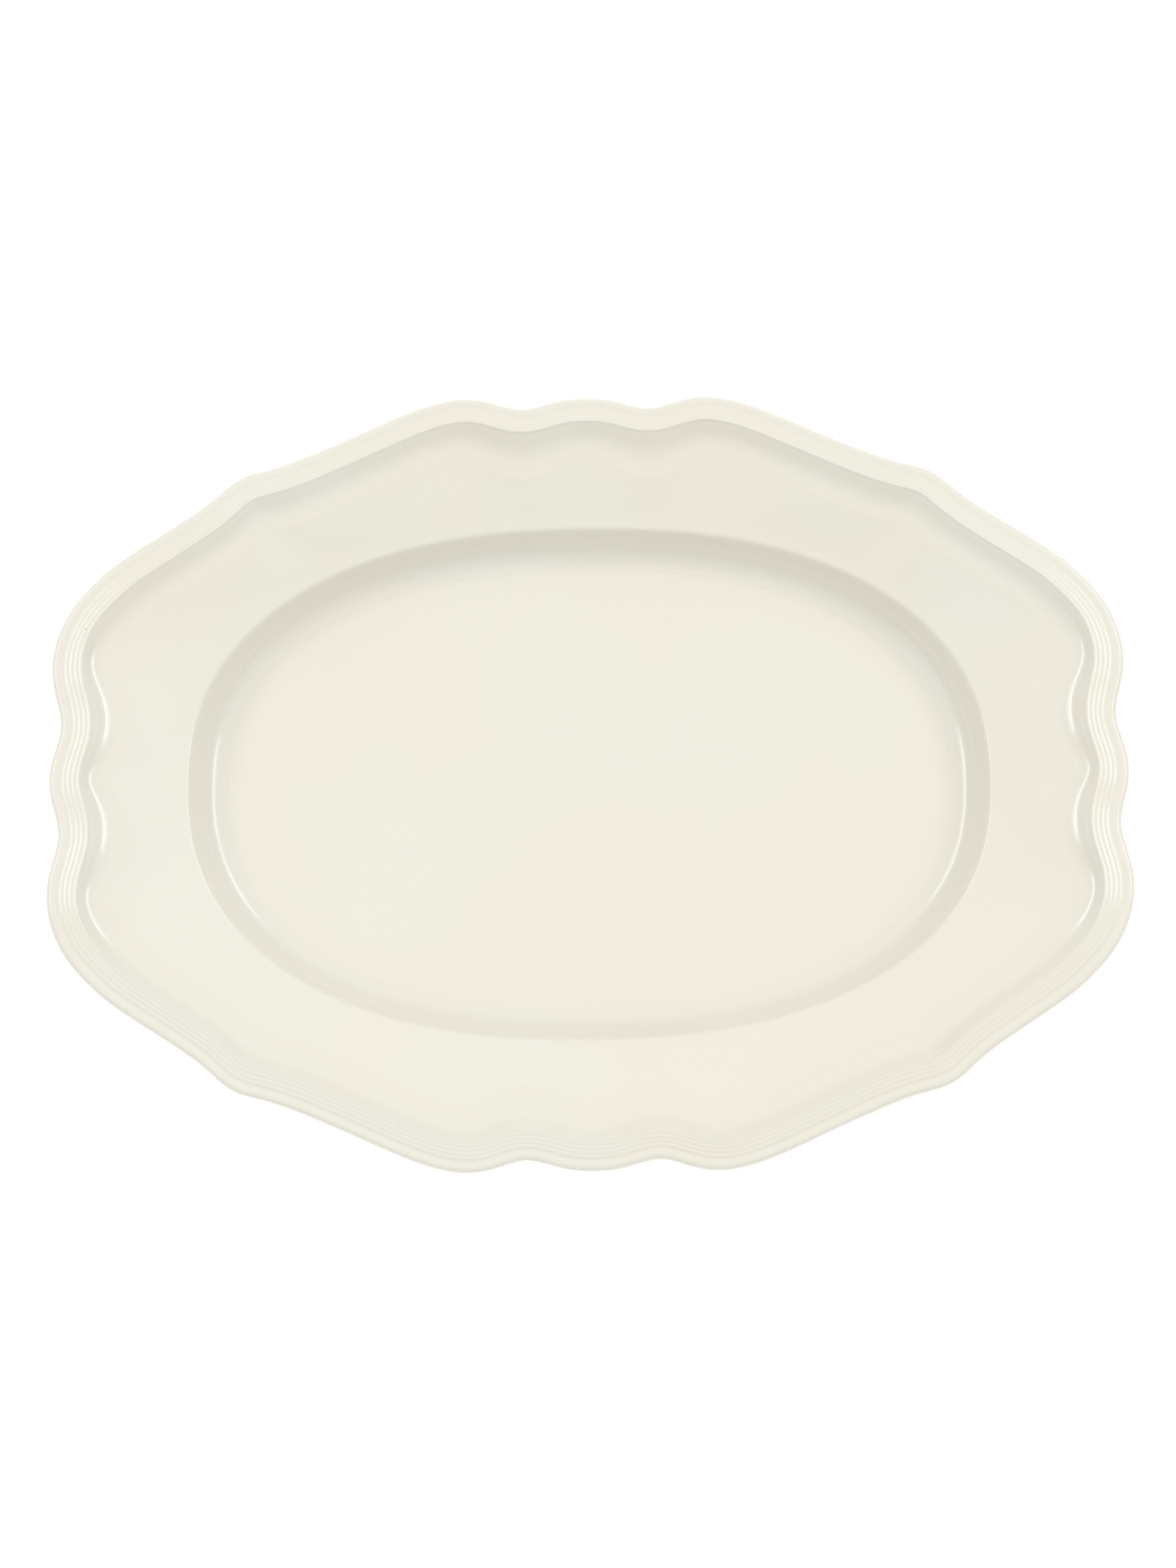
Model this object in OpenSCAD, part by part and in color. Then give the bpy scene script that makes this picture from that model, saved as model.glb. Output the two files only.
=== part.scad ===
// Oval china serving platter: a lobed, reeded border, a sloping flange, a cove-sided oval well and a foot ring.
// Frame: +Z up, +X along the length, origin on the table under the middle of the foot ring, millimetres.

/* [Size] */
// Overall length from end lobe to end lobe
platter_length = 430; // [410:2:480]
// Overall width from side lobe to side lobe
platter_width = 314; // [290:2:340]
// Height of the reeded crest above the table
crest_height = 36; // [34:0.5:40]

/* [Well] */
// Half length of the well at the shoulder where the flange turns down
shoulder_half_length = 160.5; // [155:0.5:165]
// Half width of the well at the same shoulder
shoulder_half_width = 104; // [100:0.5:107]
// Height of the shoulder above the table
shoulder_height = 21; // [20:0.5:22]
// Squareness of the oval, 2 is a true ellipse
oval_power = 2.3; // [2:0.05:2.5]
// Height of the flat floor above the table
floor_height = 8; // [7.5:0.25:9]

/* [Clay and glaze] */
// Thickness of the glaze coat
glaze_thickness = 0.35; // [0.25:0.05:0.5]
// Thickness of clay and glaze together at the floor
floor_thickness = 4.5; // [4:0.25:5]

/* [Foot ring] */
// Radius of the two tight end arcs of the foot, along its middle line
foot_end_radius = 76.75; // [75:0.25:78]
// Unit of the 7-24-25 triangle that sets the centres of the four foot arcs
foot_unit = 9.25; // [8.75:0.25:9.25]
// Width of the foot where it joins the clay
foot_root_width = 5; // [4:0.25:6]
// Width of the flat standing edge
foot_edge_width = 2.2; // [1.6:0.1:3]

/* [Node] */
// Piece to draw

/* [Hidden] */
clay_color = [0.90, 0.87, 0.79];
foot_color = [0.85, 0.81, 0.71];
glaze_color = [0.95, 0.93, 0.87];

// Guide points of one quarter of the lip, from the middle of the long side to the middle of the end:
// along, across and the width of the cove inside the border at that place
guide = [
    [0, 157.5, 13], [12.5, 156.5, 14], [26, 151, 19], [37, 156, 14], [51, 158.5, 13],
    [68.5, 153.5, 12], [84, 146.5, 12], [123.5, 128.5, 13], [136.5, 127, 13], [146, 121, 12],
    [152.5, 113, 12], [188, 91, 12], [196.5, 83, 12], [209, 70, 11], [215.5, 51, 7],
    [214, 36.5, 11], [209, 22.5, 18], [213, 11.5, 12], [215.5, 0, 6]
];
guide_length = 429.3;
guide_width = 314.6;
spans = len(guide) - 1;
quarter = [for (p = guide) [p.x * platter_length / guide_length, p.y * platter_width / guide_width, p.z]];
cage = concat(
    quarter,
    [for (i = [spans - 1:-1:0]) [quarter[i].x, -quarter[i].y, quarter[i].z]],
    [for (i = [1:spans]) [-quarter[i].x, -quarter[i].y, quarter[i].z]],
    [for (i = [spans - 1:-1:1]) [-quarter[i].x, quarter[i].y, quarter[i].z]]
);
columns = 120;
span_step = len(cage) / columns;

// Border: distance in from the lip and drop below the crest, over the rolled edge and the four reeds
lip_drop = 4.4;
face_band = [
    [0, lip_drop], [0.55, 2.9], [1.9, 1.7], [3.8, 1.55], [5.5, 2.1],
    [6.5, 1.35], [7.45, 1.8], [8.45, 0.95], [9.4, 1.4], [10.4, 0.5],
    [11.3, 0.95], [12.35, 0], [13.1, 0.6]
];
band_width = face_band[len(face_band) - 1][0];
band_end_drop = face_band[len(face_band) - 1][1];
// The border is narrower along the long sides than at the ends
side_band_scale = 0.86;
// Drop of the cove's foot below the crest, for a cove of no width and for each mm of width
cove_drop_base = 2.1;
cove_drop_rate = 0.35;
// Cove: share of its width and share of its drop
cove_rows = [[0.34, 0.58], [1, 1]];
// Well: distance out from the shoulder oval and share of the height between floor and shoulder
face_well = [[1.4, 1.014], [-0.6, 0.862], [-3, 0.564], [-6, 0.284], [-9, 0.105], [-11.6, 0.027], [-13.6, 0]];
// Underside: the same zones, with drops below the crest, below the cove's foot and shares of the well's height
back_band = [[0.5, 5.9], [2.2, 7.1], [9, 6.6]];
back_flange_drop = 4.7;
back_well = [[3.4, 0.72], [-1, 0.42], [-5, 0.06], [-8, -0.17], [-10.5, -0.26]];

// Height of the flat clay underside, which the foot ring stands under
underside = floor_height - floor_thickness;

// Position on the lip, step t of the closed cage (uniform cubic B-spline)
function cage_at(i) = cage[(i + 2 * len(cage)) % len(cage)];
function lip(t) =
    let (k = floor(t), f = t - k, g = 1 - f)
    (cage_at(k - 1) * g ^ 3
        + cage_at(k) * (3 * f ^ 3 - 6 * f ^ 2 + 4)
        + cage_at(k + 1) * (-3 * f ^ 3 + 3 * f ^ 2 + 3 * f + 1)
        + cage_at(k + 2) * f ^ 3) / 6;

// Unit direction from the lip towards the well, smoothed over `reach` steps each way
function inward(t, reach) =
    let (run = lip(t + reach) - lip(t - reach), size = norm([run.x, run.y]))
    [run.y / size, -run.x / size];

// Point of the well oval at angle a, grown outward by `grow`
function oval(a, grow) =
    let (
        c = abs(cos(a)) / (shoulder_half_length + grow),
        s = abs(sin(a)) / (shoulder_half_width + grow),
        r = (c ^ oval_power + s ^ oval_power) ^ (-1 / oval_power)
    )
    [r * cos(a), r * sin(a)];

// Foot: four-centre oval drawn on a 7-24-25 triangle, two end arcs and two side arcs on common tangents
foot_end_centre = 7 * foot_unit;
foot_side_centre = 24 * foot_unit;
foot_side_radius = foot_end_radius + 25 * foot_unit;
foot_joint_angle = atan2(foot_side_centre, foot_end_centre);
// The side arcs run this much past the middle of the side, in degrees, so that the quarters fuse
foot_lap = 0.0001;

// Glaze stops this far from the foot on both sides
glaze_wipe = 0.4;

// Point of the foot oval at bearing a, grown outward by `grow`
function foot_oval(a, grow) =
    let (
        c = abs(cos(a)),
        s = abs(sin(a)),
        end_radius = foot_end_radius + grow,
        side_radius = foot_side_radius + grow,
        joint_x = foot_end_centre + end_radius * cos(foot_joint_angle),
        joint_y = end_radius * sin(foot_joint_angle),
        r = s * joint_x > c * joint_y
            ? sqrt(side_radius ^ 2 - (foot_side_centre * c) ^ 2) - foot_side_centre * s
            : foot_end_centre * c + sqrt(end_radius ^ 2 - (foot_end_centre * s) ^ 2)
    )
    [r * cos(a), r * sin(a)];

band_reach = 0.35;
cove_reach = 1;
function flat(p) = [p.x, p.y];
function with_height(p, z) = [p.x, p.y, z];

// One column of the platter: lip point, way across the border, start of the cove, way across the cove,
// drop of the cove's foot, bearing of that foot and the foot itself
function column(t) =
    let (
        edge = lip(t),
        across = inward(t, band_reach),
        cove_way = inward(t, cove_reach),
        bearing = atan2(edge.y, edge.x),
        scale = side_band_scale + (1 - side_band_scale) * cos(bearing) ^ 4,
        drop = cove_drop_base + cove_drop_rate * edge.z,
        crest_foot = flat(edge) + across * band_width * scale,
        cove_foot = crest_foot + cove_way * edge.z,
        angle = atan2(cove_foot.y, cove_foot.x)
    )
    [flat(edge), across * scale, crest_foot, cove_way * edge.z, drop, angle, cove_foot];

// Height of a point of the well from its share of the rise from floor to shoulder
function well_height(share) = floor_height + share * (shoulder_height - floor_height);

function face_column(c) = concat(
    [for (r = face_band) with_height(c[0] + c[1] * r[0], crest_height - r[1])],
    [for (r = cove_rows)
        with_height(c[2] + c[3] * r[0], crest_height - band_end_drop - (c[4] - band_end_drop) * r[1])],
    [for (r = face_well) with_height(oval(c[5], r[0]), well_height(r[1]))]
);

function back_column(c) = concat(
    [for (r = back_band) with_height(c[0] + c[1] * r[0], crest_height - r[1])],
    [with_height(c[6], crest_height - c[4] - back_flange_drop)],
    [for (r = back_well) with_height(oval(c[5], r[0]), well_height(r[1]))],
    [with_height(foot_oval(c[5], foot_root_width / 2 + glaze_wipe), underside - glaze_thickness)]
);

all_columns = [for (i = [0:columns - 1]) column(i * span_step)];
face = [for (c = all_columns) face_column(c)];
back = [for (c = all_columns) back_column(c)];
face_rows = len(face[0]);
back_rows = len(back[0]);
// Whole skin of the glazed platter, lip first inward over the face, and from the lip over the back
skin = [for (i = [0:columns - 1]) concat([for (r = [face_rows - 1:-1:0]) face[i][r]], back[i])];
skin_rows = face_rows + back_rows;

// The same skin moved in by the glaze, square to the surface
function skin_at(i, r) = skin[(i + columns) % columns][max(0, min(skin_rows - 1, r))];
function unit(v) = v / norm(v);
function moved_in(i, r) =
    let (
        along = skin_at(i + 1, r) - skin_at(i - 1, r),
        down = skin_at(i, r + 1) - skin_at(i, r - 1)
    )
    skin_at(i, r) + unit(cross(along, down)) * -glaze_thickness;
function clay(i, r) =
    r == 0 || r == skin_rows - 1
        ? skin[i][r] + [0, 0, (r == 0 ? -1 : 1) * glaze_thickness]
        : moved_in(i, r);
clay_skin = [for (i = [0:columns - 1]) [for (r = [0:skin_rows - 1]) clay(i, r)]];

// Foot section, standing edge down
foot_bevel = 0.35;
foot_profile = [
    [-foot_root_width / 2, underside],
    [-foot_edge_width / 2 - foot_bevel, foot_bevel],
    [-foot_edge_width / 2, 0],
    [foot_edge_width / 2, 0],
    [foot_edge_width / 2 + foot_bevel, foot_bevel],
    [foot_root_width / 2, underside]
];

// Rings of points joined into one closed solid: flat caps at both ends, or a closed tube. The second
// half of a coat's rings runs back over the first, so its squares are split along the same diagonals.
module ring_solid(rings, tube = false, coat = false) {
    count = len(rings);
    steps = tube ? count : count - 1;
    turn = coat ? count / 2 : count;
    walls = [
        for (k = [0:steps - 1], i = [0:columns - 1])
            let (
                j = (i + 1) % columns,
                n = (k + 1) % count,
                square = [k * columns + i, n * columns + i, n * columns + j, k * columns + j],
                split = k < turn ? [[0, 1, 2], [0, 2, 3]] : [[0, 1, 3], [1, 2, 3]]
            )
            for (tri = split)
                [for (corner = tri) square[corner]]
    ];
    caps = tube ? [] : [
        [for (i = [0:columns - 1]) i],
        [for (i = [columns - 1:-1:0]) (count - 1) * columns + i]
    ];
    polyhedron(points = [for (ring = rings) each ring], faces = concat(walls, caps), convexity = 8);
}

function skin_ring(r) = [for (i = [0:columns - 1]) skin[i][r]];
function clay_ring(r) = [for (i = [0:columns - 1]) clay_skin[i][r]];

// Fired clay: flat floor, cove-sided well, sloping flange and the reeded border
module china_body() {
    color(clay_color)
        ring_solid([for (r = [0:skin_rows - 1]) clay_ring(r)]);
}

// Oval standing ring, bare on its edge, seated on the flat underside
module foot_arc(radius, from, to) {
    rotate([0, 0, from])
        rotate_extrude(angle = to - from, $fn = 144)
            translate([radius, 0])
                polygon(foot_profile);
}

module foot_quarter() {
    translate([foot_end_centre, 0, 0])
        foot_arc(foot_end_radius, 0, foot_joint_angle);
    translate([0, -foot_side_centre, 0])
        foot_arc(foot_side_radius, foot_joint_angle, 90 + foot_lap);
}

module foot_ring() {
    color(foot_color)
        for (end = [0, 1], side = [0, 1])
            mirror([end, 0, 0])
                mirror([0, side, 0])
                    foot_quarter();
}

// Glaze over the whole face, out to the middle of the lip
module face_glaze() {
    color(glaze_color)
        ring_solid(concat(
            [for (r = [0:face_rows - 1]) skin_ring(r)],
            [for (r = [face_rows - 1:-1:0]) clay_ring(r)]
        ), coat = true);
}

// Glaze over the back, from the middle of the lip to just short of the foot
module back_glaze() {
    color(glaze_color)
        ring_solid(concat(
            [for (r = [face_rows - 1:skin_rows - 1]) skin_ring(r)],
            [for (r = [skin_rows - 1:-1:face_rows - 1]) clay_ring(r)]
        ), tube = true, coat = true);
}

// Glaze inside the foot, wiped back from the ring
module recess_glaze() {
    color(glaze_color)
        translate([0, 0, underside - glaze_thickness])
            linear_extrude(glaze_thickness)
                polygon([for (c = all_columns) foot_oval(c[5], -foot_root_width / 2 - glaze_wipe)]);
}

china_body();
foot_ring();
face_glaze();
back_glaze();
recess_glaze();
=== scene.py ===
import math

import bpy
from mathutils import Matrix, Vector


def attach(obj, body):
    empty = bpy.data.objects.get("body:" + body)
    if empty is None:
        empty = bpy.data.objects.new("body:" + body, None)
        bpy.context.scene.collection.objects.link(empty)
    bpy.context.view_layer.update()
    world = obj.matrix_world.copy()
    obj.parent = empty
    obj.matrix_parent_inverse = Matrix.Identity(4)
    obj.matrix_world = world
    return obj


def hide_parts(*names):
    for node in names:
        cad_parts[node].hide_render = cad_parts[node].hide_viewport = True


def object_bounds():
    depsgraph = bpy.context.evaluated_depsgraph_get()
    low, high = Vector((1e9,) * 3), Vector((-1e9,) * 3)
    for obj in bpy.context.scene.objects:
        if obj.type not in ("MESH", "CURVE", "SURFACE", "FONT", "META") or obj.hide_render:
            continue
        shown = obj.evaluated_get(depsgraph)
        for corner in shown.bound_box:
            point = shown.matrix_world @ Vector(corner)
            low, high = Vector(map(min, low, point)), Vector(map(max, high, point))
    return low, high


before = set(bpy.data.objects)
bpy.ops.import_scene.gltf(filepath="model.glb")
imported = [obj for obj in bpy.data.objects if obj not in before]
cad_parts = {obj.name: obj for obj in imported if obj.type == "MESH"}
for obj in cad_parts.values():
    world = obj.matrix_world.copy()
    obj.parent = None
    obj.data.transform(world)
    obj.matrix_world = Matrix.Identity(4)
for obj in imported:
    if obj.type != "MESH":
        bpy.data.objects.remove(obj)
cad_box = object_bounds()


# ---------------------------------------------------------------------------------------------
# Lip. The outline that the presser's mould gives the border: three soft lobes on each long side
# and at each end, with a long ogee and a small step between them. It is a closed smooth curve drawn
# by guide points, one quarter mirrored twice, whose third value is the width of the cove there.
# ---------------------------------------------------------------------------------------------

MM = 0.001
LIP_QUARTER = [
    (0, 157.5, 13), (12.5, 156.5, 14), (26, 151, 19), (37, 156, 14), (51, 158.5, 13),
    (68.5, 153.5, 12), (84, 146.5, 12), (123.5, 128.5, 13), (136.5, 127, 13), (146, 121, 12),
    (152.5, 113, 12), (188, 91, 12), (196.5, 83, 12), (209, 70, 11), (215.5, 51, 7),
    (214, 36.5, 11), (209, 22.5, 18), (213, 11.5, 12), (215.5, 0, 6),
]
# Length and width in mm of the smooth curve that these guide points give
GUIDE_LENGTH, GUIDE_WIDTH = 429.32, 314.72
LIP_CURVE_STEPS = 16

low, high = cad_box
length_scale = (high.x - low.x) / GUIDE_LENGTH
width_scale = (high.y - low.y) / GUIDE_WIDTH
lip_points = list(LIP_QUARTER)
lip_points += [(x, -y, cove) for x, y, cove in LIP_QUARTER[-2::-1]]
lip_points += [(-x, y, cove) for x, y, cove in lip_points[-2:0:-1]]

lip_curve = bpy.data.curves.new("lip", "CURVE")
lip_curve.dimensions = "3D"
lip_spline = lip_curve.splines.new("NURBS")
lip_spline.points.add(len(lip_points) - 1)
for point, (x, y, cove) in zip(lip_spline.points, lip_points):
    point.co = (x * length_scale, y * width_scale, cove * MM, 1)
lip_spline.order_u = 4
lip_spline.use_cyclic_u = True
lip_spline.resolution_u = LIP_CURVE_STEPS
lip = bpy.data.objects.new("lip", lip_curve)
bpy.context.scene.collection.objects.link(lip)


# ---------------------------------------------------------------------------------------------
# Face glaze. The glossy ivory coat over the flat floor, the cove-sided well, the sloping flange
# and the border with its four reeds and rolled lip. It is dipped, runs thin over each crest and
# pools a little in the grooves; the darker band along the lip's edge is painted shade. One section,
# listed row by row, is carried round the lip.
# ---------------------------------------------------------------------------------------------

CREST_HEIGHT = high.z
SHOULDER_HEIGHT = 21 * MM
FLOOR_HEIGHT = 8 * MM
GLAZE_THICKNESS = 0.35 * MM

# Border, in mm in from the lip and mm below the crest: rolled lip, plain bead, reeds, crest
LIP_DROP = 4.4
LIP_ROLL, LIP_ROLL_RISE = 2.9, 2.85
BEAD_DROP, BEAD_DIP = 1.55, 0.2
REED_START, REED_PITCH, REED_COUNT = 5.5, 1.95, 4
REED_HEIGHT, GROOVE_DROP, REED_ROUNDING = 0.2, 1.6, 1.2
CREST_BAND = REED_START + REED_PITCH * (REED_COUNT - 0.5)
CREST_FALL, CREST_CURL = 0.6, 1.7
BAND_WIDTH = 13.1

# Cove and flange: how flat the cove runs out, how fast it curls, how soon its rounded top ends
COVE_RUNOUT, COVE_CURL = 0.25, 2.2
COVE_TOP_SLOPE, COVE_TOP = 0.45, 0.2
FLANGE_CROWDING = 1.1

# Well, in mm out from the shoulder oval and shares of the rise from floor to shoulder
FLOOR_CREASE, SHOULDER_RISE, CREASE_RISE = -13.4, 1.075, 0.01
FLANGE_SLOPE, WALL_SLOPE, WALL_CURL, LEAST_SLOPE = 0.22, 1.65, 1.35, 0.01
SHOULDER_TOP, SHOULDER_WIDTH = 1.6, 2.6
WELL_STATIONS = [
    4.4, 3, 2, 1.2, 0.6, 0, -0.6, -1.2, -2, -3, -4.2, -5.4, -6.6, -7.8, -9, -10.2, -11.4, -12.5,
    FLOOR_CREASE,
]
CREASE_WIDTH = 0.5
FLOOR_SHARES = (0, 0.01, 0.05, 0.5, 1)

# Rows in each zone, columns round the lip, and where each zone starts along the section, in mm;
# the well's is where it crosses the shoulder oval
ROLL_STEPS, BEAD_STEPS, REED_STEPS, CREST_STEPS, COVE_STEPS, FLANGE_STEPS = 7, 4, 22, 3, 13, 6
COLUMNS = 640
BEAD_RUN, REED_RUN, CREST_RUN, COVE_RUN, FLANGE_RUN = 4, 6.5, 13.3, 14, 21
SHOULDER_RUN, FLOOR_RUN = 51, 72


class Row:
    """One row of the section. `band` and `drop` are mm in from the lip and below the crest, `cove`
    and `fall` are shares of the cove, `flange` blends from the cove's foot to the well oval,
    `grow` and `rise` place the row on that oval, `floor` draws it in to the middle, `pool` is how
    thick the glaze lies, and `run` is the distance along the section in mm."""

    def __init__(self, band, drop, cove=0, fall=0, flange=0, grow=0, rise=0, floor=0, pool=0, run=0):
        self.rim = (band * MM, drop * MM, cove)
        self.well = (flange, grow * MM, rise)
        self.extra = (fall, floor, pool)
        self.run = run * MM


def reed_drop(band):
    """Drop below the crest of the reeded band: half-round reeds on a base that climbs inward."""
    into = band - REED_START
    base = GROOVE_DROP - (GROOVE_DROP - REED_HEIGHT) * into / (CREST_BAND - REED_START)
    return base - REED_HEIGHT * abs(math.sin(math.pi * into / REED_PITCH)) ** REED_ROUNDING


def cove_slope(share):
    """Steepness of the cove: rounded over at the crest, steepest below it, easing to the flange."""
    rounding = min(1, COVE_TOP_SLOPE + (1 - COVE_TOP_SLOPE) * share / COVE_TOP)
    return (COVE_RUNOUT + (1 - COVE_RUNOUT) * (1 + COVE_CURL) * (1 - share) ** COVE_CURL) * rounding


def well_slope(grow):
    """Steepness of the wall of the well: a tight shoulder, then a long curve down to the crease."""
    over = min(1, max(0, (SHOULDER_TOP - grow) / SHOULDER_WIDTH))
    over = over * over * (3 - 2 * over)
    left = min(1, (grow - FLOOR_CREASE) / -FLOOR_CREASE)
    return FLANGE_SLOPE * (1 - over) + WALL_SLOPE * over * left ** WALL_CURL + LEAST_SLOPE


def slope_sum(stations, slope):
    """(station, share of the whole fall) pairs for a slope that is added up between stations."""
    parts = 8
    falls = [0.0]
    for start, end in zip(stations, stations[1:]):
        step = (end - start) / parts
        falls.append(falls[-1] + sum(slope(start + step * (i + 0.5)) for i in range(parts)) * abs(step))
    return [(station, fall / falls[-1]) for station, fall in zip(stations, falls)]


def face_section():
    """Rows from the lip's edge inward to the middle of the floor."""
    rows = []
    for step in range(ROLL_STEPS):
        turn = math.radians(90 * step / ROLL_STEPS)
        rows.append(Row(LIP_ROLL * (1 - math.cos(turn)), LIP_DROP - LIP_ROLL_RISE * math.sin(turn),
                        run=BEAD_RUN * step / ROLL_STEPS))
    for step in range(BEAD_STEPS):
        share = step / BEAD_STEPS
        along = (REED_START - LIP_ROLL) * share
        dip = (1 - math.cos(math.pi * share)) / 2
        rows.append(Row(LIP_ROLL + along, BEAD_DROP + BEAD_DIP * dip, pool=share ** 3,
                        run=BEAD_RUN + along))
    for step in range(REED_STEPS):
        band = REED_START + (CREST_BAND - REED_START) * step / REED_STEPS
        groove = 1 - abs(math.sin(math.pi * (band - REED_START) / REED_PITCH))
        rows.append(Row(band, reed_drop(band), pool=groove ** 2, run=REED_RUN + band - REED_START))
    for step in range(CREST_STEPS):
        share = step / CREST_STEPS
        rows.append(Row(CREST_BAND + (BAND_WIDTH - CREST_BAND) * share, CREST_FALL * share ** CREST_CURL,
                        run=CREST_RUN + 0.8 * share))
    cove_stations = [i / COVE_STEPS for i in range(COVE_STEPS + 1)]
    for share, fall in slope_sum(cove_stations, cove_slope)[:-1]:
        rows.append(Row(BAND_WIDTH, CREST_FALL, cove=share, fall=fall, pool=0.8 * share ** 2,
                        run=COVE_RUN + (FLANGE_RUN - COVE_RUN) * share))
    for step in range(FLANGE_STEPS):
        share = (step / FLANGE_STEPS) ** FLANGE_CROWDING
        rows.append(Row(BAND_WIDTH, CREST_FALL, 1, 1, share, WELL_STATIONS[0], SHOULDER_RISE,
                        pool=0.8 * max(0, 1 - 6 * share), run=FLANGE_RUN + 27 * share))
    for grow, fall in slope_sum(WELL_STATIONS, well_slope):
        rise = SHOULDER_RISE - (SHOULDER_RISE - CREASE_RISE) * fall
        rows.append(Row(BAND_WIDTH, CREST_FALL, 1, 1, 1, grow, rise, pool=(grow == FLOOR_CREASE),
                        run=SHOULDER_RUN - 1.3 * grow))
    for share in FLOOR_SHARES:
        rows.append(Row(BAND_WIDTH, CREST_FALL, 1, 1, 1, FLOOR_CREASE - CREASE_WIDTH, 0, floor=share,
                        run=FLOOR_RUN + 90 * share))
    return rows


def section_template(name, rows):
    """A line of points, one for each row, that carries the row's values for the node tree."""
    mesh = bpy.data.meshes.new(name)
    mesh.from_pydata([(i, 0, 0) for i in range(len(rows))], [(i, i + 1) for i in range(len(rows) - 1)], [])
    for key in ("rim", "well", "extra"):
        values = mesh.attributes.new(key, "FLOAT_VECTOR", "POINT").data
        for value, row in zip(values, rows):
            value.vector = getattr(row, key)
    runs = mesh.attributes.new("run", "FLOAT", "POINT").data
    for value, row in zip(runs, rows):
        value.value = row.run
    template = bpy.data.objects.new(name, mesh)
    bpy.context.scene.collection.objects.link(template)
    return template


class Sum:
    """A socket that takes part in Python sums. Each operator adds a Math node to its tree."""

    def __init__(self, tree, socket):
        self.tree = tree
        self.socket = socket

    def math(self, operation, *others):
        values = {0: self, **{i + 1: other for i, other in enumerate(others)}}
        return add_node(self.tree, "ShaderNodeMath", {"operation": operation}, values)

    def __add__(self, other):
        return self.math("ADD", other)

    __radd__ = __add__

    def __sub__(self, other):
        return self.math("SUBTRACT", other)

    def __rsub__(self, other):
        return (self * -1) + other

    def __mul__(self, other):
        return self.math("MULTIPLY", other)

    __rmul__ = __mul__

    def __truediv__(self, other):
        return self.math("DIVIDE", other)

    def __rtruediv__(self, other):
        return self ** -1 * other

    def __pow__(self, other):
        return self.math("POWER", other)

    def __abs__(self):
        return self.math("ABSOLUTE")

    def above(self, other):
        return self.math("GREATER_THAN", other)

    def clamp(self):
        return self.math("MAXIMUM", 0).math("MINIMUM", 1)

    def between(self, start, end):
        """0 below `start`, 1 above `end` and smooth in between."""
        values = {"Value": self, "From Min": start, "From Max": end}
        return add_node(self.tree, "ShaderNodeMapRange", {"interpolation_type": "SMOOTHSTEP"}, values)


def add_node(tree, kind, settings=None, values=None, output=0):
    """Adds a node, makes its settings, then fills or links its sockets, and returns one output."""
    node = tree.nodes.new(kind)
    for key, value in (settings or {}).items():
        setattr(node, key, value)
    for key, value in (values or {}).items():
        socket = node.inputs[key]
        if isinstance(value, Sum):
            tree.links.new(value.socket, socket)
        else:
            socket.default_value = value
    if isinstance(output, str):
        return Sum(tree, next(o for o in node.outputs if o.name == output and o.enabled))
    return Sum(tree, node.outputs[output])


def split(vector):
    """The three parts of a vector socket."""
    node = vector.tree.nodes.new("ShaderNodeSeparateXYZ")
    vector.tree.links.new(vector.socket, node.inputs[0])
    return [Sum(vector.tree, node.outputs[i]) for i in range(3)]


def join(tree, x, y, z):
    return add_node(tree, "ShaderNodeCombineXYZ", {}, {0: x, 1: y, 2: z})


# Shares of the way round over which the way inward is evened out, for the reeds and for the cove
BAND_CALM, COVE_CALM = 0.0036, 0.018
# The border narrows toward the long sides by this power of the bearing's cosine
SIDE_NARROWING = 4.0
# How far in from the lip's edge the painted shade, a darker band standing in for the dark outline along the
# lip, fades out
EDGE_SHADE_START, EDGE_SHADE_END = 1.2 * MM, 3 * MM
# Points nearer than this are joined: at the sheet's seam and middle, and where a coat is closed
SKIN_MERGE, COAT_MERGE = 2e-6, 1e-7


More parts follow.
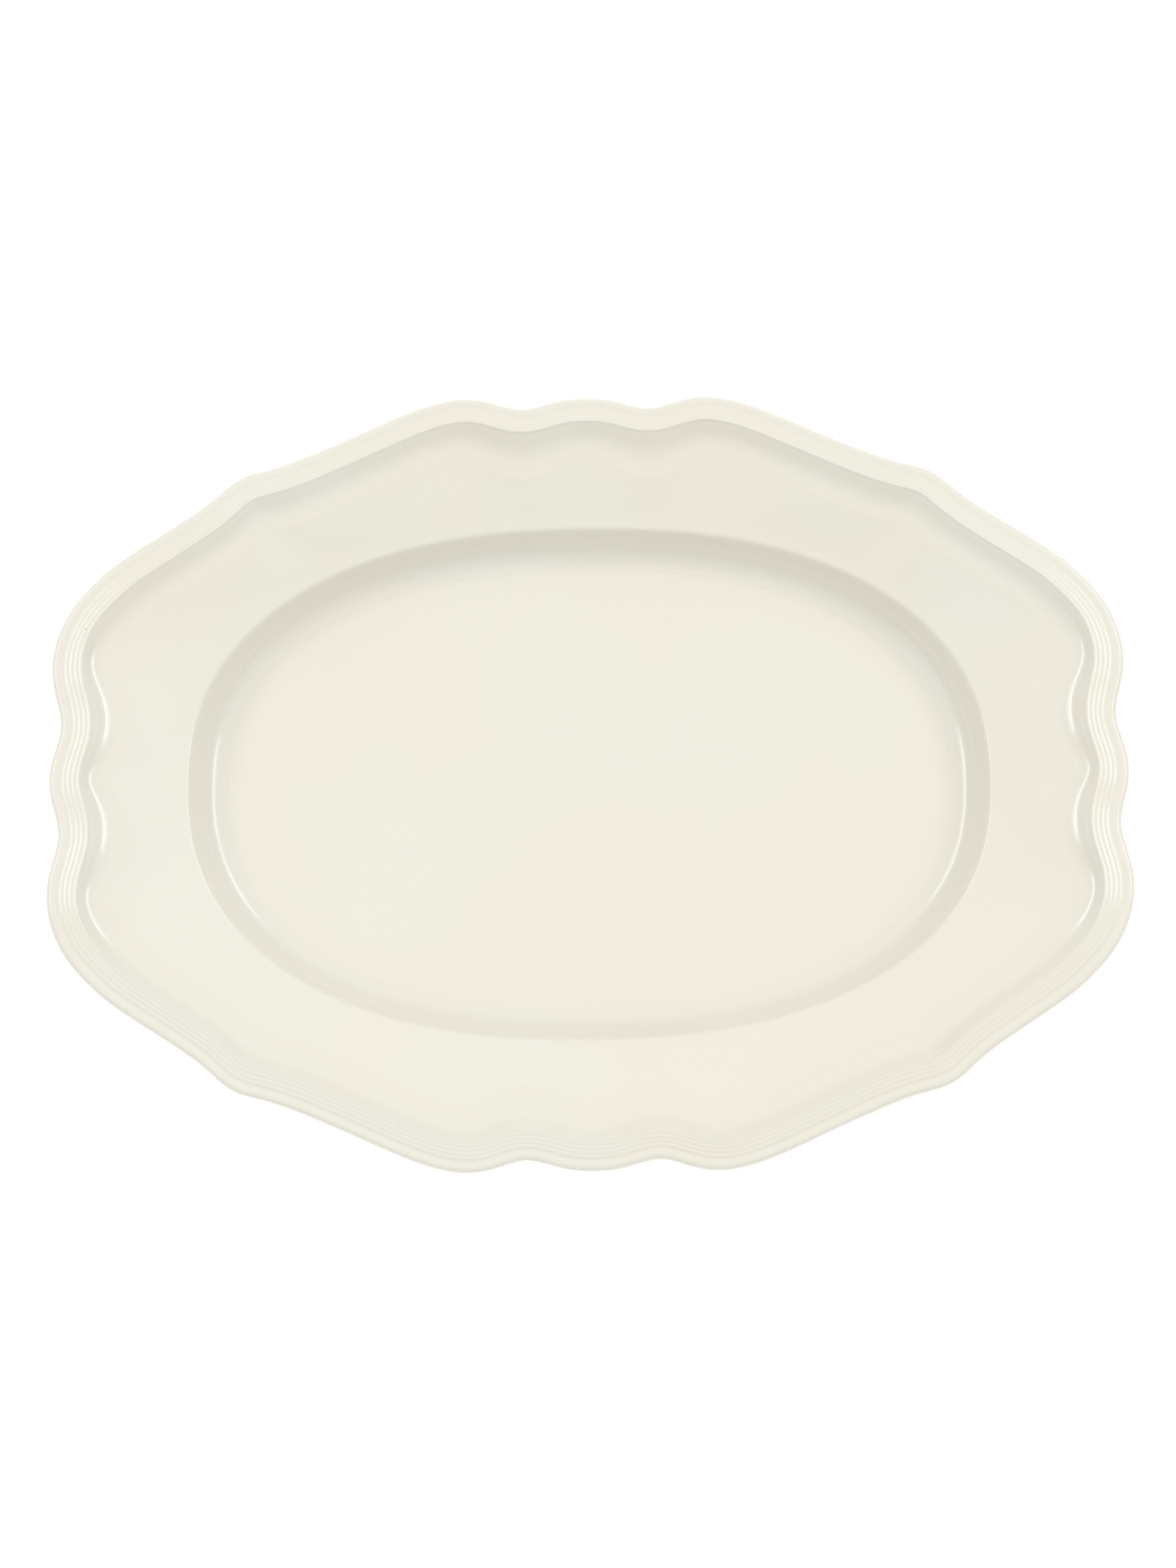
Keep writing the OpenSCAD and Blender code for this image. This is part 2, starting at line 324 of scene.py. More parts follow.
def platter_tree():
    """Node tree that carries a section round the lip and closes it into a skin or a solid coat."""
    tree = bpy.data.node_groups.new("platter skin", "GeometryNodeTree")
    inputs = {
        "Geometry": "NodeSocketGeometry", "Lip": "NodeSocketObject", "Section": "NodeSocketObject",
        "Columns": "NodeSocketInt", "Rows": "NodeSocketInt", "Crest Height": "NodeSocketFloat",
        "Band Width": "NodeSocketFloat", "Side Band Scale": "NodeSocketFloat",
        "Shoulder Half Length": "NodeSocketFloat", "Shoulder Half Width": "NodeSocketFloat",
        "Oval Power": "NodeSocketFloat", "Shoulder Height": "NodeSocketFloat",
        "Floor Height": "NodeSocketFloat", "Cove Drop": "NodeSocketFloat",
        "Cove Drop Rate": "NodeSocketFloat", "Coat": "NodeSocketFloat", "Moved In": "NodeSocketFloat",
        "Material": "NodeSocketMaterial",
    }
    for name, kind in inputs.items():
        tree.interface.new_socket(name, in_out="INPUT", socket_type=kind)
    tree.interface.new_socket("Geometry", in_out="OUTPUT", socket_type="NodeSocketGeometry")
    group = tree.nodes.new("NodeGroupInput")
    size = {name: Sum(tree, group.outputs[name]) for name in inputs}

    # A flat sheet, one unit square: across it the way round the lip, up it the rows of the section
    sheet = add_node(tree, "GeometryNodeMeshGrid", {}, {
        "Size X": 1.0, "Size Y": 1.0, "Vertices X": size["Columns"] + 1, "Vertices Y": size["Rows"],
    })
    place = split(add_node(tree, "GeometryNodeInputPosition"))
    around = place[0] + 0.5
    row = ((place[1] + 0.5) * (size["Rows"] - 1)).math("ROUND")

    lip_shape = add_node(tree, "GeometryNodeObjectInfo", {"transform_space": "ORIGINAL"},
                         {"Object": size["Lip"]}, output="Geometry")
    section = add_node(tree, "GeometryNodeObjectInfo", {"transform_space": "ORIGINAL"},
                       {"Object": size["Section"]}, output="Geometry")

    def lip_at(share):
        return split(add_node(tree, "GeometryNodeSampleCurve", {"mode": "FACTOR", "use_all_curves": True},
                              {"Curves": lip_shape, "Factor": share.math("FLOORED_MODULO", 1.0)},
                              output="Position"))

    def inward(reach):
        ahead, behind = lip_at(around + reach), lip_at(around - reach)
        run_x, run_y = ahead[0] - behind[0], ahead[1] - behind[1]
        size_of_run = (run_x * run_x + run_y * run_y).math("SQRT")
        return run_y / size_of_run, run_x * -1 / size_of_run

    def row_value(name, kind, output="Value"):
        field = add_node(tree, "GeometryNodeInputNamedAttribute", {"data_type": kind}, {"Name": name},
                         output="Attribute")
        return add_node(tree, "GeometryNodeSampleIndex", {"data_type": kind, "domain": "POINT"},
                        {"Geometry": section, "Value": field, "Index": row}, output=output)

    band, drop, cove = split(row_value("rim", "FLOAT_VECTOR"))
    flange, grow, rise = split(row_value("well", "FLOAT_VECTOR"))
    fall, floor, pool = split(row_value("extra", "FLOAT_VECTOR"))
    run = row_value("run", "FLOAT")
    # Painted shade: a darker band along the lip's edge, standing in for the dark outline there
    edge = 1 - run.between(EDGE_SHADE_START, EDGE_SHADE_END)

    # Border and cove: square to the lip, the cove along a calmer direction than the reeds
    edge_x, edge_y, cove_width = lip_at(around)
    across_x, across_y = inward(BAND_CALM)
    calm_x, calm_y = inward(COVE_CALM)
    bearing = edge_y.math("ARCTAN2", edge_x)
    side = size["Side Band Scale"]
    scale = side + (1 - side) * bearing.math("COSINE") ** SIDE_NARROWING
    reach = band * scale
    full_reach = size["Band Width"] * scale
    rim_x = edge_x + across_x * reach + calm_x * cove_width * cove
    rim_y = edge_y + across_y * reach + calm_y * cove_width * cove
    foot_x = edge_x + across_x * full_reach + calm_x * cove_width
    foot_y = edge_y + across_y * full_reach + calm_y * cove_width
    cove_drop = size["Cove Drop"] + size["Cove Drop Rate"] * cove_width
    rim_z = size["Crest Height"] - drop - cove_drop * fall

    # Well: a squarish oval about the middle, met on the bearing of the cove's foot
    angle = foot_y.math("ARCTAN2", foot_x)
    cos, sin = angle.math("COSINE"), angle.math("SINE")
    power = size["Oval Power"]
    spread = (abs(cos) / (size["Shoulder Half Length"] + grow)) ** power
    spread = spread + (abs(sin) / (size["Shoulder Half Width"] + grow)) ** power
    radius = 1 / (spread ** (1 / power))
    well_z = size["Floor Height"] + rise * (size["Shoulder Height"] - size["Floor Height"])
    x = (rim_x + (radius * cos - rim_x) * flange) * (1 - floor)
    y = (rim_y + (radius * sin - rim_y) * flange) * (1 - floor)
    z = rim_z + (well_z - rim_z) * flange

    outward = add_node(tree, "GeometryNodeFlipFaces", {}, {"Mesh": sheet})
    # The stored map carries the run, the pooling and the painted shade mask for the lip's edge
    mapped = add_node(tree, "GeometryNodeStoreNamedAttribute",
                      {"data_type": "FLOAT_VECTOR", "domain": "POINT"},
                      {"Geometry": outward, "Name": "glaze_map", "Value": join(tree, run, pool, edge)})
    shaped = add_node(tree, "GeometryNodeSetPosition", {},
                      {"Geometry": mapped, "Position": join(tree, x, y, z)})
    closed = add_node(tree, "GeometryNodeMergeByDistance", {}, {"Geometry": shaped, "Distance": SKIN_MERGE})

    # Clay lies under the glaze: the same skin moved in, square to itself
    normal = add_node(tree, "GeometryNodeInputNormal")
    inset = add_node(tree, "ShaderNodeVectorMath", {"operation": "SCALE"},
                     {"Vector": normal, "Scale": size["Moved In"] * -1})
    skin = add_node(tree, "GeometryNodeSetPosition", {}, {"Geometry": closed, "Offset": inset})

    # A coat is closed by a copy of the skin on the clay side and a strip round its open edges
    thick = add_node(tree, "ShaderNodeVectorMath", {"operation": "SCALE"},
                     {"Vector": normal, "Scale": size["Coat"] * -1})
    inner = add_node(tree, "GeometryNodeExtrudeMesh", {"mode": "FACES"},
                     {"Mesh": skin, "Offset": thick, "Individual": False}, output="Mesh")
    turned = add_node(tree, "GeometryNodeFlipFaces", {}, {"Mesh": inner})
    both = tree.nodes.new("GeometryNodeJoinGeometry")
    tree.links.new(skin.socket, both.inputs[0])
    tree.links.new(turned.socket, both.inputs[0])
    coat = add_node(tree, "GeometryNodeMergeByDistance", {},
                    {"Geometry": Sum(tree, both.outputs[0]), "Distance": COAT_MERGE})
    chosen = add_node(tree, "GeometryNodeSwitch", {"input_type": "GEOMETRY"},
                      {"Switch": size["Coat"].above(0), "False": skin, "True": coat})
    smooth = add_node(tree, "GeometryNodeSetShadeSmooth", {}, {"Geometry": chosen, "Shade Smooth": True})
    real = add_node(tree, "GeometryNodeRealizeInstances", {}, {"Geometry": smooth})
    dressed = add_node(tree, "GeometryNodeSetMaterial", {},
                       {"Geometry": real, "Material": size["Material"]})
    end = tree.nodes.new("NodeGroupOutput")
    tree.links.new(dressed.socket, end.inputs["Geometry"])
    return tree


PLATTER_TREE = platter_tree()
PLATTER_SIZES = {
    "Crest Height": CREST_HEIGHT, "Band Width": BAND_WIDTH * MM, "Side Band Scale": 0.86,
    "Shoulder Half Length": 160.5 * MM, "Shoulder Half Width": 104 * MM, "Oval Power": 2.3,
    "Shoulder Height": SHOULDER_HEIGHT, "Floor Height": FLOOR_HEIGHT, "Cove Drop": 1.5 * MM,
    "Cove Drop Rate": 0.35,
}


def plain_mesh(worker):
    """The evaluated result of a worker object as a plain mesh object of the same name."""
    depsgraph = bpy.context.evaluated_depsgraph_get()
    mesh = bpy.data.meshes.new_from_object(worker.evaluated_get(depsgraph))
    name = worker.name
    worker.modifiers.clear()
    bpy.data.objects.remove(worker)
    mesh.name = name
    piece = bpy.data.objects.new(name, mesh)
    bpy.context.scene.collection.objects.link(piece)
    return piece


def platter_skin(name, rows, material, coat=0.0, moved_in=0.0):
    """A piece of the platter: the rows carried round the lip, as a coat or as a closed form."""
    template = section_template(name + "_section", rows)
    worker = bpy.data.objects.new(name, bpy.data.meshes.new(name))
    bpy.context.scene.collection.objects.link(worker)
    modifier = worker.modifiers.new("skin", "NODES")
    modifier.node_group = PLATTER_TREE
    values = dict(PLATTER_SIZES)
    values.update({"Lip": lip, "Section": template, "Columns": COLUMNS, "Rows": len(rows)})
    values.update({"Coat": coat, "Moved In": moved_in, "Material": material})
    for item in PLATTER_TREE.interface.items_tree:
        if item.in_out == "INPUT" and item.name in values:
            modifier[item.identifier] = values[item.name]
    piece = plain_mesh(worker)
    bpy.data.objects.remove(template)
    return piece


def new_finish(name):
    """An empty material, its node tree and the place on the piece, in metres."""
    material = bpy.data.materials.new(name)
    material.use_nodes = True
    tree = material.node_tree
    tree.nodes.clear()
    return material, tree, add_node(tree, "ShaderNodeTexCoord", output="Object")


def noise(at, scale, detail, rough=0.5):
    return add_node(at.tree, "ShaderNodeTexNoise", {"noise_dimensions": "3D"},
                    {"Vector": at, "Scale": scale, "Detail": detail, "Roughness": rough}, output="Fac")


def blend(mask, first, second):
    """The first colour where the mask is 0, the second where it is 1."""
    values = {0: mask, 6: first, 7: second}
    return add_node(mask.tree, "ShaderNodeMix", {"data_type": "RGBA"}, values, output=2)


def relief(height):
    """Bump from a height in metres."""
    return add_node(height.tree, "ShaderNodeBump", {}, {"Strength": 1.0, "Distance": 1.0, "Height": height})


def finish_with(shader):
    """Puts the shader on the tree's output."""
    end = shader.tree.nodes.new("ShaderNodeOutputMaterial")
    shader.tree.links.new(shader.socket, end.inputs["Surface"])


IVORY, CREAM = (0.835, 0.806, 0.710, 1), (0.822, 0.785, 0.675, 1)
# Pooled glaze, then painted shade: the dark colour laid in a band along the lip's edge
POOLED, EDGE_SHADE_COLOUR = (0.720, 0.675, 0.550, 1), (0.36, 0.35, 0.27, 1)
IRON_SPECK = (0.16, 0.12, 0.08, 1)
# Strengths of the mottle, the pooling and the painted shade at the lip's edge
MOTTLE_STRENGTH, POOL_STRENGTH, EDGE_SHADE_STRENGTH = 0.55, 0.16, 0.25
SPECK_CELLS, SPECK_SIZE, SPECK_CHANCE = 60, (0.012, 0.022), 0.93
SPECK_STRENGTH, SPECK_DEPTH = 0.75, 0.06 * MM
TURNING_STRENGTH, TURNING_DEPTH = 0.2, 0.06 * MM
# Where the turning lines come in and die away, as distances along the section
WALL_TOP, WALL_FOOT = (52 * MM, 58 * MM), (66 * MM, 72 * MM)


def glazed_china(name, waviness, streaks):
    """Glossy ivory glaze: a faint cream mottle, darker where it pools, a band of painted shade along the
    lip's edge, fine pinholes, soft waves in the surface and the turning lines that show through on the
    wall of the well."""
    material, tree, place = new_finish(name)
    place_x, place_y = split(place)[:2]
    glaze_map = add_node(tree, "ShaderNodeAttribute", {"attribute_name": "glaze_map"}, output="Vector")
    map_run, map_pool, map_edge_shade = split(glaze_map)

    mottle = noise(place, 9, 3).between(0.38, 0.68)
    colour = blend(mottle * MOTTLE_STRENGTH, IVORY, CREAM)
    colour = blend((map_pool * POOL_STRENGTH).clamp(), colour, POOLED)
    # Painted shade: a dark band blended in along the lip's edge
    colour = blend((map_edge_shade * EDGE_SHADE_STRENGTH).clamp(), colour, EDGE_SHADE_COLOUR)

    # Pinholes and iron specks: one cell in fourteen keeps a speck
    cells = tree.nodes.new("ShaderNodeTexVoronoi")
    cells.inputs["Scale"].default_value = SPECK_CELLS
    tree.links.new(place.socket, cells.inputs["Vector"])
    distance = Sum(tree, cells.outputs["Distance"])
    chance = add_node(tree, "ShaderNodeSeparateColor", {}, {0: Sum(tree, cells.outputs["Color"])}, output=0)
    speck = (1 - distance.between(*SPECK_SIZE)) * chance.above(SPECK_CHANCE)
    colour = blend(speck * SPECK_STRENGTH, colour, IRON_SPECK)

    # Turning lines: stretched along the way round, close together across the section
    lines = noise(join(tree, place_x * 12, place_y * 12, map_run * 1400), 1.0, 2, 0.6)
    on_wall = map_run.between(*WALL_TOP) * (1 - map_run.between(*WALL_FOOT)) * streaks
    streak = lines.between(0.52, 0.75) * on_wall * TURNING_STRENGTH
    colour = blend(streak.clamp(), colour, POOLED)

    waves = noise(place, 26, 2, 0.4) * waviness + noise(place, 140, 2, 0.5) * (waviness * 0.08)
    bump = relief(waves + lines * on_wall * TURNING_DEPTH - speck * SPECK_DEPTH)
    rough = 0.05 + noise(place, 35, 3).between(0.3, 0.8) * 0.04
    finish_with(add_node(tree, "ShaderNodeBsdfPrincipled", {}, {
        "Base Color": colour, "Roughness": rough, "Normal": bump, "IOR": 1.55,
        "Coat Weight": 0.7, "Coat Roughness": 0.03, "Coat IOR": 1.55,
    }))
    return material


FACE_WAVES, BACK_WAVES, FOOT_WAVES = 0.4 * MM, 0.5 * MM, 0.3 * MM
face_finish = glazed_china("ivory glaze on the face", FACE_WAVES, 1.0)
face_glaze = platter_skin("face_coat", face_section(), face_finish, coat=GLAZE_THICKNESS)
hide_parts("face_glaze")
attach(face_glaze, "root")


# ---------------------------------------------------------------------------------------------
# Back glaze. The same coat under the flange and the well, from the middle of the lip to the
# root of the foot ring, where the potter wipes it back.
# ---------------------------------------------------------------------------------------------

UNDERSIDE = 3.5 * MM

# Border from below, in mm like the face's: roll, hollow band, and the cove that rises under it
BACK_ROLL, BACK_ROLL_DROP = 2.6, 2.7
BACK_DROP, BACK_HOLLOW, BACK_COVE_RISE = 7.1, 0.5, 2.4

# Under the well: mm out from the shoulder oval with the height there, as a share of the face's rise
BACK_WELL = [
    (5, 0.755), (3, 0.68), (0.8, 0.53), (-1, 0.385), (-3, 0.205), (-5, 0.045), (-7, -0.11),
    (-9, -0.215), (-11.5, -0.275), (-14.5, -0.31), (-17, -0.3233),
]
BACK_SEAT = -20
BACK_ROLL_STEPS, BACK_BAND_STEPS, BACK_COVE_STEPS, BACK_FLANGE_STEPS = 8, 6, 8, 6


def smooth_keys(keys, steps):
    """Points along a smooth curve through the keys, `steps` to each span."""
    ends = [tuple(2 * a - b for a, b in zip(keys[0], keys[1]))]
    ends += keys + [tuple(2 * a - b for a, b in zip(keys[-1], keys[-2]))]
    points = []
    for k in range(1, len(ends) - 2):
        for step in range(steps):
            t = step / steps
            weights = (
                (-t + 2 * t * t - t ** 3) / 2,
                (2 - 5 * t * t + 3 * t ** 3) / 2,
                (t + 4 * t * t - 3 * t ** 3) / 2,
                (t ** 3 - t * t) / 2,
            )
            points.append(tuple(sum(w * p[i] for w, p in zip(weights, ends[k - 1:k + 3]))
                                for i in range(len(keys[0]))))
    return points + [keys[-1]]


def back_section(to_middle=False):
    """Rows from the lip's edge over the underside to the foot's root, or on to the middle."""
    rows = []
    for step in range(BACK_ROLL_STEPS):
        turn = math.radians(90 * step / BACK_ROLL_STEPS)
        rows.append(Row(BACK_ROLL * (1 - math.cos(turn)), LIP_DROP + BACK_ROLL_DROP * math.sin(turn),
                        run=BEAD_RUN * step / BACK_ROLL_STEPS))
    for step in range(BACK_BAND_STEPS):
        share = step / BACK_BAND_STEPS
        rows.append(Row(BACK_ROLL + (BAND_WIDTH - BACK_ROLL) * share,
                        BACK_DROP - BACK_HOLLOW * math.sin(math.pi * share), run=BEAD_RUN + 10 * share))
    cove_stations = [i / BACK_COVE_STEPS for i in range(BACK_COVE_STEPS + 1)]
    for share, fall in slope_sum(cove_stations, cove_slope)[:-1]:
        ease = share * share * (3 - 2 * share)
        rows.append(Row(BAND_WIDTH, BACK_DROP - BACK_COVE_RISE * ease, cove=share, fall=fall,
                        run=COVE_RUN + 8 * share))
    drop = BACK_DROP - BACK_COVE_RISE
    first_grow, first_rise = BACK_WELL[0]
    for step in range(BACK_FLANGE_STEPS):
        share = step / BACK_FLANGE_STEPS
        rows.append(Row(BAND_WIDTH, drop, 1, 1, flange=share, grow=first_grow, rise=first_rise,
                        run=FLANGE_RUN + 1 + 26 * share))
    for grow, rise in smooth_keys(BACK_WELL, 2):
        rows.append(Row(BAND_WIDTH, drop, 1, 1, 1, grow, rise, run=SHOULDER_RUN - 1 - 1.3 * grow))
    seat = (UNDERSIDE - GLAZE_THICKNESS - FLOOR_HEIGHT) / (SHOULDER_HEIGHT - FLOOR_HEIGHT)
    rows.append(Row(BAND_WIDTH, drop, 1, 1, 1, BACK_SEAT, seat, run=76))
    if to_middle:
        rows.append(Row(BAND_WIDTH, drop, 1, 1, 1, BACK_SEAT, seat, floor=0.5, run=120))
        rows.append(Row(BAND_WIDTH, drop, 1, 1, 1, BACK_SEAT, seat, floor=1, run=160))
    return rows[::-1]


back_finish = glazed_china("ivory glaze on the back", BACK_WAVES, 0.0)
back_glaze = platter_skin("back_coat", back_section(), back_finish, coat=GLAZE_THICKNESS)
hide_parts("back_glaze")
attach(back_glaze, "root")


# ---------------------------------------------------------------------------------------------
# China body. The fired clay inside the glaze, one pressing with an even wall: floor, well, flange
# and reeded border. It shows nowhere but at the foot's root, and is matt and a shade darker.
# ---------------------------------------------------------------------------------------------

CLAY_LIGHT, CLAY_DARK = (0.70, 0.63, 0.50, 1), (0.56, 0.49, 0.37, 1)
CLAY_GRIT = 0.04 * MM


def bare_china(name):
    """Unglazed fired clay: matt, warm grey-cream, with fine grit in the surface."""
    material, tree, place = new_finish(name)
    grit = noise(place, 900, 4)
    stain = noise(place, 40, 4)
    colour = blend(stain.between(0.35, 0.75) * 0.7 + grit * 0.2, CLAY_LIGHT, CLAY_DARK)
    finish_with(add_node(tree, "ShaderNodeBsdfPrincipled", {}, {
        "Base Color": colour, "Roughness": 0.72 + stain * 0.15, "Normal": relief(grit * CLAY_GRIT),
        "IOR": 1.5,
    }))
    return material


clay = bare_china("fired clay")
whole_section = back_section(to_middle=True)[:-1] + face_section()
china_body = platter_skin("clay_body", whole_section, clay, moved_in=GLAZE_THICKNESS)
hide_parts("china_body")
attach(china_body, "root")


# ---------------------------------------------------------------------------------------------
# Foot ring. The oval ring that the platter stands on, turned from the same clay and luted to the
# flat underside. Its sides carry glaze, and the standing edge is ground bare.
# ---------------------------------------------------------------------------------------------

FOOT_END_RADIUS = 76.75 * MM
FOOT_UNIT = 9.25 * MM
FOOT_HEIGHT = UNDERSIDE
FOOT_ROOT = 2.5 * MM
FOOT_EDGE = 1.45 * MM

# Flare into the underside, with the fillet below it, then the rounding of the standing edge
FOOT_FLARE, FOOT_FILLET_WIDTH, FOOT_FILLET_DROP = 0.6 * MM, 0.95 * MM, 0.8 * MM
FOOT_SKIRT, FOOT_TOP, FOOT_OVERLAP = 0.36 * MM, 0.38 * MM, 0.05 * MM
EDGE_ROUNDING = 0.8 * MM
FOOT_ARC_STEPS, FOOT_CURVE_STEPS = 90, 5

# Height of the bare edge, how softly it fades into the glaze and how far it wanders
BARE_BAND, BARE_FADE, BARE_WANDER = 0.9 * MM, 0.08 * MM, 0.6 * MM


def foot_path():
    """Four-centre oval on a 7-24-25 triangle: two tight end arcs and two wide side arcs."""
    end_centre, side_centre = 7 * FOOT_UNIT, 24 * FOOT_UNIT
    side_radius = FOOT_END_RADIUS + 25 * FOOT_UNIT
    joint = math.atan2(side_centre, end_centre)
    arcs = [
        (end_centre, 0, FOOT_END_RADIUS, -joint, joint),
        (0, -side_centre, side_radius, joint, math.pi - joint),
        (-end_centre, 0, FOOT_END_RADIUS, math.pi - joint, math.pi + joint),
        (0, side_centre, side_radius, math.pi + joint, 2 * math.pi - joint),
    ]
    points = []
    for x, y, radius, start, stop in arcs:
        for step in range(FOOT_ARC_STEPS):
            turn = start + (stop - start) * step / FOOT_ARC_STEPS
            points.append((x + radius * math.cos(turn), y + radius * math.sin(turn)))
    return points


def foot_profile():
    """Section of the ring: flared into the underside at the top, rounded at the standing edge."""
    outside = FOOT_ROOT + FOOT_FLARE
    outer = [(outside, FOOT_HEIGHT + FOOT_OVERLAP), (outside, FOOT_HEIGHT - FOOT_SKIRT)]
    for step in range(FOOT_CURVE_STEPS):
        turn = math.radians(90 * step / FOOT_CURVE_STEPS)
        outer.append((outside - FOOT_FILLET_WIDTH * math.sin(turn),
                      FOOT_HEIGHT - FOOT_TOP - FOOT_FILLET_DROP * (1 - math.cos(turn))))
    for step in range(FOOT_CURVE_STEPS + 1):
        turn = math.radians(90 * step / FOOT_CURVE_STEPS)
        outer.append((FOOT_EDGE - EDGE_ROUNDING * (1 - math.cos(turn)),
                      EDGE_ROUNDING * (1 - math.sin(turn))))
    return outer + [(-x, z) for x, z in outer[::-1]]


def ring_solid(name, path, profile, material):
    """Carries a closed profile round a closed path and joins the ends."""
    count, width = len(path), len(profile)
    points = []
    for i, (x, y) in enumerate(path):
        ahead, behind = path[(i + 1) % count], path[i - 1]
        run_x, run_y = ahead[0] - behind[0], ahead[1] - behind[1]
        length = math.hypot(run_x, run_y)
        out_x, out_y = run_y / length, -run_x / length
        points += [(x + out_x * out, y + out_y * out, z) for out, z in profile]
    faces = []
    for i in range(count):
        here, there = i * width, (i + 1) % count * width
        for k in range(width):
            n = (k + 1) % width
            faces.append((here + k, here + n, there + n, there + k))
    mesh = bpy.data.meshes.new(name)
    mesh.from_pydata(points, [], faces)
    mesh.materials.append(material)
    mesh.polygons.foreach_set("use_smooth", [True] * len(mesh.polygons))
    piece = bpy.data.objects.new(name, mesh)
    bpy.context.scene.collection.objects.link(piece)
    return piece


BARE_LIGHT, BARE_DARK = (0.66, 0.59, 0.47, 1), (0.52, 0.45, 0.34, 1)
GROUND_GRIT = 0.05 * MM


def foot_china():
    """Glaze down the sides of the foot, fading to bare clay at the ground standing edge."""
    material = glazed_china("foot, glazed to a bare edge", FOOT_WAVES, 0.0)
    tree = material.node_tree
    end = next(n for n in tree.nodes if n.type == "OUTPUT_MATERIAL")
    glazed = Sum(tree, end.inputs["Surface"].links[0].from_socket)
    place = add_node(tree, "ShaderNodeTexCoord", output="Object")
    wander = noise(place, 160, 3)
    height = split(place)[2] + (wander - 0.5) * BARE_WANDER
    bare = 1 - height.between(BARE_BAND - BARE_FADE, BARE_BAND + BARE_FADE)
    colour = blend(wander.between(0.3, 0.7), BARE_LIGHT, BARE_DARK)
    matt = add_node(tree, "ShaderNodeBsdfPrincipled", {}, {
        "Base Color": colour, "Roughness": 0.8, "Normal": relief(noise(place, 1200, 4) * GROUND_GRIT),
        "IOR": 1.5,
    })
    mixed = add_node(tree, "ShaderNodeMixShader", {}, {0: bare, 1: glazed, 2: matt})
    tree.links.new(mixed.socket, end.inputs["Surface"])
    return material


foot = ring_solid("standing_foot", foot_path(), foot_profile(), foot_china())
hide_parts("foot_ring")
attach(foot, "root")


# ---------------------------------------------------------------------------------------------
# Recess glaze. The thin coat on the flat clay inside the foot. Its solid is right as it stands
# and takes the back's glaze.
# ---------------------------------------------------------------------------------------------

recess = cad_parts["recess_glaze"]
recess_finish = glazed_china("ivory glaze in the recess", BACK_WAVES, 0.0)
recess.data.materials.clear()
recess.data.materials.append(recess_finish)


# ---------------------------------------------------------------------------------------------
# Studio. A white table that glows a little, a plain pale sky that is duller low at the sides, a glow
# at each side whose crisp lower edge draws a bright line in the well and the coves, and a camera
# almost straight above.
# ---------------------------------------------------------------------------------------------

TABLE_REACH = 6
TABLE_COLOUR, TABLE_ROUGHNESS, TABLE_GLOW = (0.93, 0.93, 0.93, 1), 0.9, 0.35

table_mesh = bpy.data.meshes.new("table")
table_corners = [(x * TABLE_REACH, y * TABLE_REACH, 0) for x, y in ((-1, -1), (1, -1), (1, 1), (-1, 1))]
table_mesh.from_pydata(table_corners, [], [(0, 1, 2, 3)])
table = bpy.data.objects.new("table", table_mesh)
bpy.context.scene.collection.objects.link(table)
white = bpy.data.materials.new("white table")
white.use_nodes = True
white_shader = white.node_tree.nodes["Principled BSDF"]
white_shader.inputs["Base Color"].default_value = TABLE_COLOUR
white_shader.inputs["Roughness"].default_value = TABLE_ROUGHNESS
white_shader.inputs["Emission Color"].default_value = (1, 1, 1, 1)
white_shader.inputs["Emission Strength"].default_value = TABLE_GLOW
table_mesh.materials.append(white)

# The sky's strength, how it leans right, back and up, and its lift and low shade at the sides
SKY_LEVEL = 0.762
SKY_LEAN = (0.04, 0.075, 0.19)
SIDE_LIFT, SIDE_SHADE, SHADE_TOP = 0.16, 0.37, 0.3

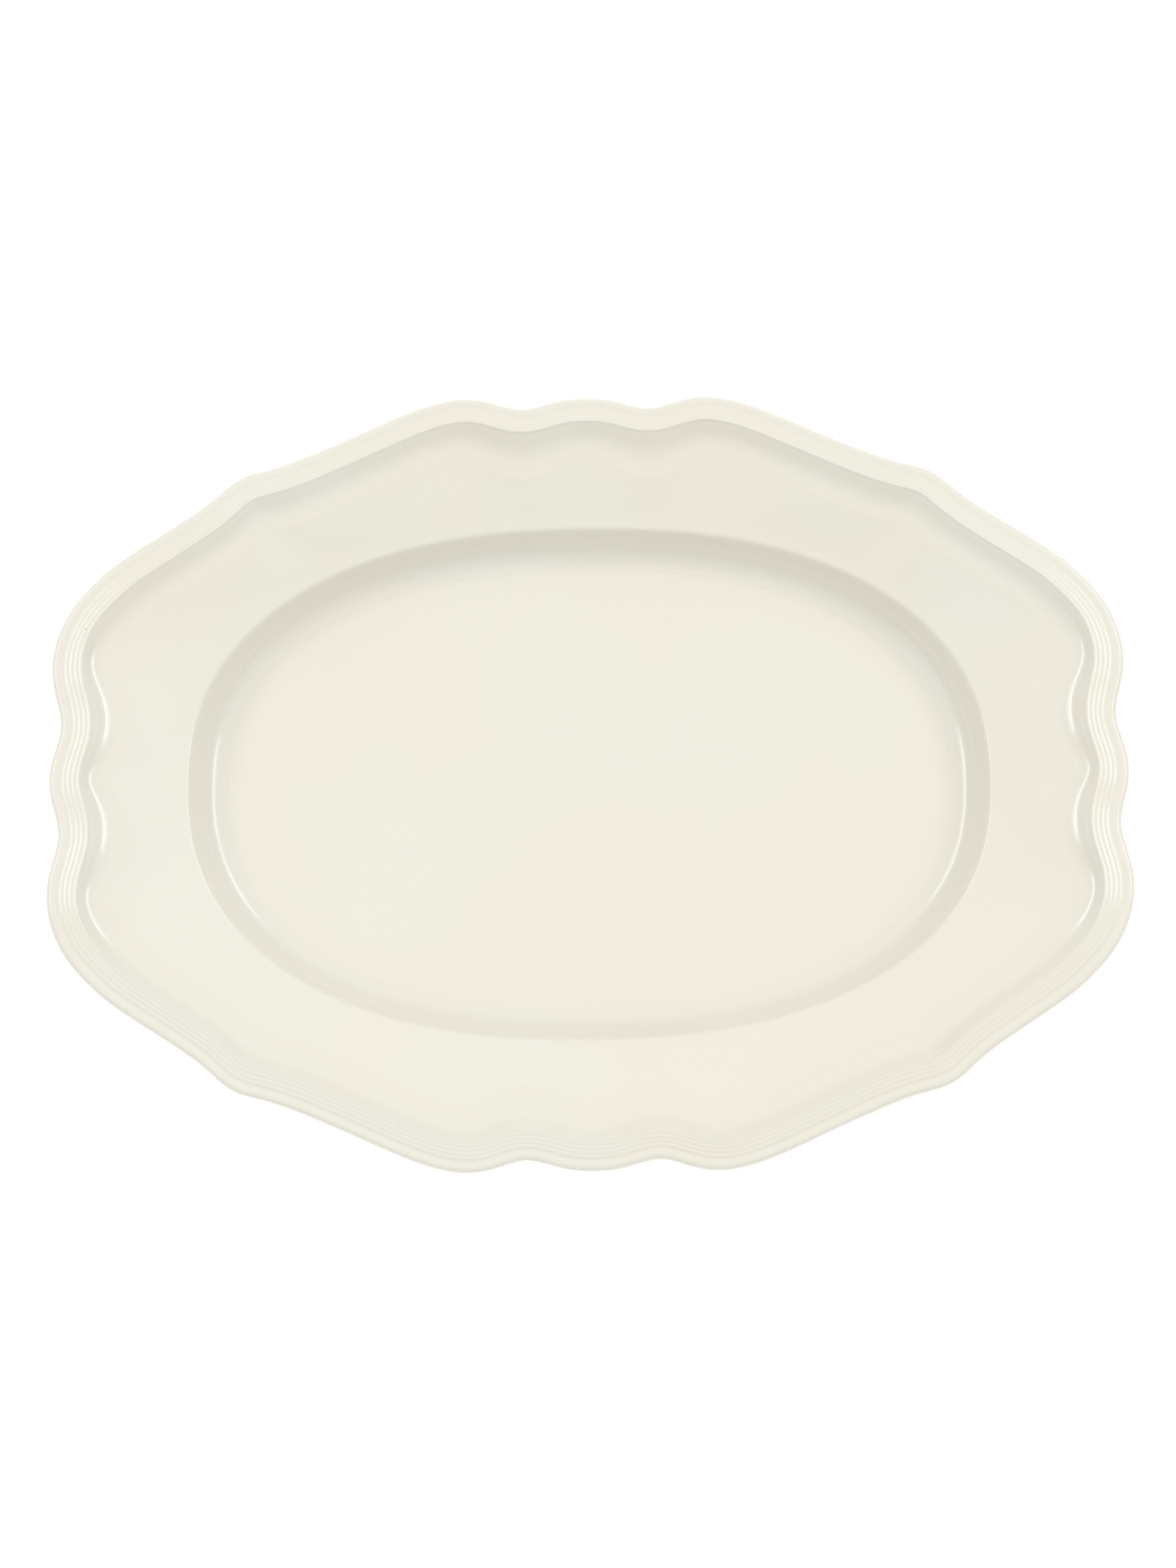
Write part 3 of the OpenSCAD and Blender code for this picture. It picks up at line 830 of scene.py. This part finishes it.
# The glow's strength, its lower edge, how crisp that is, its fade upward, and where it starts
GLOW, GLOW_EDGE, GLOW_CRISPNESS, GLOW_FADE = 3.0, 0.5, 0.015, 0.27
GLOW_BACK, GLOW_SIDE = (-0.1, 0.12), (0.5, 0.75)

world = bpy.data.worlds.new("studio")
world.use_nodes = True
sky_tree = world.node_tree
sky_x, sky_y, sky_z = split(add_node(sky_tree, "ShaderNodeTexCoord", output="Generated"))
sideways = abs(sky_x)
level = (1 - sky_z * sky_z).math("MAXIMUM", 0.001).math("SQRT")
glow = sky_z.between(GLOW_EDGE, GLOW_EDGE + GLOW_CRISPNESS)
glow = glow * (1 - sky_z.between(GLOW_EDGE, GLOW_EDGE + GLOW_FADE))
glow = glow * (sky_y / level).between(*GLOW_BACK) * (sideways / level).between(*GLOW_SIDE)
sky = SKY_LEVEL + sky_x * SKY_LEAN[0] + sky_y * SKY_LEAN[1] + sky_z * SKY_LEAN[2]
sky = sky + sideways * SIDE_LIFT + glow * GLOW
sky = sky - sideways * (1 - sky_z.between(SHADE_TOP, GLOW_EDGE)) * SIDE_SHADE
sky_tree.links.new(sky.socket, sky_tree.nodes["Background"].inputs["Strength"])
sky_tree.nodes["Background"].inputs["Color"].default_value = (1, 1, 1, 1)
bpy.context.scene.world = world

CAMERA_TILT = math.radians(11)
CAMERA_DISTANCE = 1.1272
CAMERA_ROLL = -0.01129
CAMERA_LENS, CAMERA_SENSOR = 64.25, 36
CAMERA_AIM = Vector((-0.0005, -0.0011, 0.018))
camera_data = bpy.data.cameras.new("camera")
camera_data.lens = CAMERA_LENS
camera_data.sensor_width = CAMERA_SENSOR
camera = bpy.data.objects.new("camera", camera_data)
camera.location = CAMERA_AIM + Vector((0, -math.sin(CAMERA_TILT), math.cos(CAMERA_TILT))) * CAMERA_DISTANCE
camera_turn = Matrix.Rotation(CAMERA_TILT, 3, "X") @ Matrix.Rotation(CAMERA_ROLL, 3, "Z")
camera.rotation_euler = camera_turn.to_euler()
bpy.context.scene.collection.objects.link(camera)
bpy.context.scene.camera = camera
bpy.context.scene.view_settings.view_transform = "Standard"

bpy.data.objects.remove(lip)
